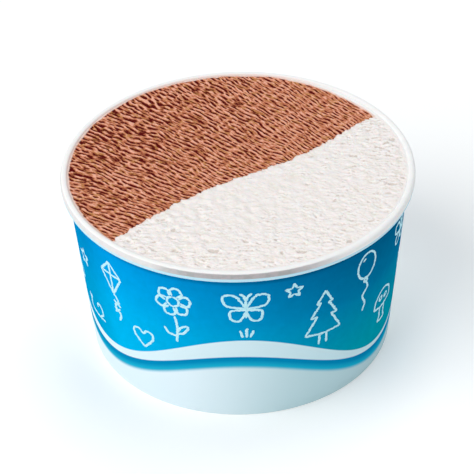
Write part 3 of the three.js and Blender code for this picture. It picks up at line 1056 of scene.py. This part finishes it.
def kite():
    """A kite with crossed sticks and a tail with bows."""
    strokes = sides([(0, 5), (3.4, 1.4), (0.2, -4.2), (-3.2, 1.6), (0, 5)])
    strokes += [[(0, 4.8), (0.2, -4)], [(-3.0, 1.6), (3.2, 1.4)]]
    strokes.append([(0.2, -4.2), (1.4, -6), (0.2, -8), (1.6, -10), (0.9, -12)])
    for x, y in ((0.9, -6.9), (0.8, -9.0)):
        strokes.append([(x - 1.1, y + 0.6), (x + 1.1, y - 0.6)])
        strokes.append([(x - 0.9, y - 0.7), (x + 0.9, y + 0.7)])
    return strokes


def butterfly():
    """A butterfly seen from above, wings spread."""
    strokes = [[(0, -2.4), (0.1, 0), (0, 2.2)]]
    fore = [(0, 0.3), (2.2, 3.6), (4.6, 3.4), (3.9, 0.9), (0, 0.1)]
    hind = [(0, -0.2), (3.1, -0.6), (3.0, -2.9), (1.3, -3.2), (0, -0.8)]
    feeler = [(0, 2.2), (0.5, 3.6), (1.3, 4.2)]
    for side in (-1, 1):
        strokes += [[(side * x, y) for x, y in line] for line in (fore, hind, feeler)]
    return strokes


def balloon():
    """A balloon on a curling string."""
    strokes = [loop((0, 4), (3.0, 3.7)), [(-0.7, -0.7), (0, 0.2), (0.7, -0.7), (-0.7, -0.7)]]
    strokes.append([(0, -0.7), (0.9, -2.8), (-0.6, -5.0), (0.5, -7.4), (-0.1, -9.6)])
    strokes.append([(-1.5, 5.6), (-0.7, 6.3)])
    return strokes


def mushroom():
    """A spotted mushroom."""
    cap = [(-4, 0.2), (-3.4, 2.8), (-1.2, 4.6), (1.2, 4.6), (3.4, 2.9), (4, 0.3)]
    strokes = [cap, [(-4, 0.2), (0, -0.5), (4, 0.3)]]
    strokes += [[(-1.1, -0.5), (-1.0, -3.2), (-1.6, -4.6)], [(1.1, -0.5), (1.1, -3.2), (1.7, -4.6)]]
    strokes.append([(-1.6, -4.6), (0, -4.9), (1.7, -4.6)])
    strokes += [loop((-1.3, 2.4), (0.7, 0.6), steps=8), loop((1.4, 2.0), (0.6, 0.6), steps=8)]
    return strokes


def star():
    """A five-pointed star."""
    corners = []
    for number, reach in enumerate([2.4, 1.0] * 5):
        turn = math.pi * number / 5
        corners.append((reach * math.sin(turn), reach * math.cos(turn)))
    return sides(corners + corners[:1])


def heart():
    """A small heart."""
    half = [(0, 1.2), (1.1, 2.4), (2.4, 1.7), (2.1, 0.0), (0, -2.4)]
    return [half, [(-x, y) for x, y in half]]


def snail():
    """A snail with a spiral shell."""
    spiral = []
    for number in range(7):
        reach = 3.0 - 0.42 * number
        turn = 0.8 * number - 1.4
        spiral.append((0.8 + reach * math.cos(turn), 1.2 + reach * math.sin(turn)))
    body = [(4.0, -2.0), (0.0, -2.3), (-3.6, -2.0), (-4.9, -0.4), (-4.3, 1.4)]
    return [spiral, body, [(-4.5, 1.3), (-5.3, 2.8)], [(-4.1, 1.3), (-3.9, 2.9)]]


def grass():
    """A tuft of three blades."""
    return [[(-0.9, -1), (-1.4, 1.2)], [(0, -1), (0.1, 1.9)], [(0.9, -1), (1.6, 1.1)]]


DRAWINGS = (  # motif, turn from the front, height, size
    (kite, -49, 35.8, 1.1),
    (flower, -23, 31.6, 1.2),
    (butterfly, 1.5, 36.8, 1.2),
    (grass, 1.5, 28.4, 1.1),
    (star, 17.5, 40.8, 1.0),
    (fir_tree, 29, 28.6, 1.2),
    (heart, -36.5, 21.0, 1.2),
    (balloon, 47, 34.6, 1.1),
    (mushroom, 61, 19.5, 1.1),
    (snail, -63, 19.0, 0.9),
    (star, -68, 34, 1.1),
    (snail, 84, 25.5, 1.1),
    (butterfly, 72, 38, 1.0),
    (flower, 104, 35.0, 1.1),
    (heart, 122, 40.5, 1.1),
    (fir_tree, 137, 30.0, 1.1),
    (mushroom, 163, 20.0, 1.1),
    (kite, 152, 37.5, 1.0),
    (star, 167.5, 39.5, 1.0),
    (grass, 186, 15.5, 1.1),
    (heart, 194, 24, 1.1),
    (balloon, 205, 35.0, 1.0),
    (flower, 224, 33.5, 1.1),
    (snail, 242, 36.0, 1.0),
    (grass, 243, 28.0, 1.1),
    (butterfly, 262, 37.5, 1.1),
    (mushroom, 280, 23.5, 1.0),
)


def make_drawings():
    """All drawn lines as one piece."""
    points = []
    faces = []
    hand = np.random.default_rng(5)
    for motif, turn, height, size in DRAWINGS:
        for line in motif():
            more, shapes = stroke(line, FRONT + turn, height, size, hand)
            faces += [tuple(len(points) + i for i in shape) for shape in shapes]
            points += more
    piece = make_piece("drawn_lines", points, faces, [INK])
    smooth_faces(piece)


# -------- the scene

FLOOR_HALF = 3.0  # metres
FLOOR_CLOUDS = 2.5  # to a metre
FLOOR_GLOW = 0.15
SURROUND = (0.84, 0.94, 1.0, 1)
SURROUND_POWER = 0.22


def make_floor():
    """A wide pale floor, lit a little from below as a light table is."""
    material, tree, shader = new_material("floor", {"Roughness": 0.9, "Specular IOR Level": 0.1})
    cloud = noise(tree, object_place(tree), FLOOR_CLOUDS)
    colour = blend(tree, cloud, srgb(252, 252, 252), srgb(254, 254, 254))
    tree.links.new(colour, shader.inputs["Base Color"])
    shader.inputs["Emission Color"].default_value = (1, 1, 1, 1)
    shader.inputs["Emission Strength"].default_value = FLOOR_GLOW
    mesh = bpy.data.meshes.new("floor")
    corners = [(x * FLOOR_HALF, y * FLOOR_HALF, 0) for x, y in ((-1, -1), (1, -1), (1, 1), (-1, 1))]
    mesh.from_pydata(corners, [], [(0, 1, 2, 3)])
    mesh.materials.append(material)
    floor = bpy.data.objects.new("floor", mesh)
    bpy.context.scene.collection.objects.link(floor)


def make_world():
    """An even pale surround."""
    world = bpy.data.worlds.new("studio")
    world.use_nodes = True
    background = world.node_tree.nodes["Background"].inputs
    background["Color"].default_value = SURROUND
    background["Strength"].default_value = SURROUND_POWER
    bpy.context.scene.world = world
    bpy.context.scene.view_settings.view_transform = "Standard"


make_camera()
make_world()
make_floor()
for light_values in LIGHTS:
    soft_light(*light_values)
make_wall()
make_bottom()
make_flavour("chocolate_scoop", "chocolate_gelato", CHOCOLATE, CHOCOLATE_SCRAPE, 1, CHOCOLATE_COLUMNS)
make_flavour("milk_scoop", "milk_gelato", MILK, MILK_SCRAPE, -1, MILK_COLUMNS)
make_drawings()
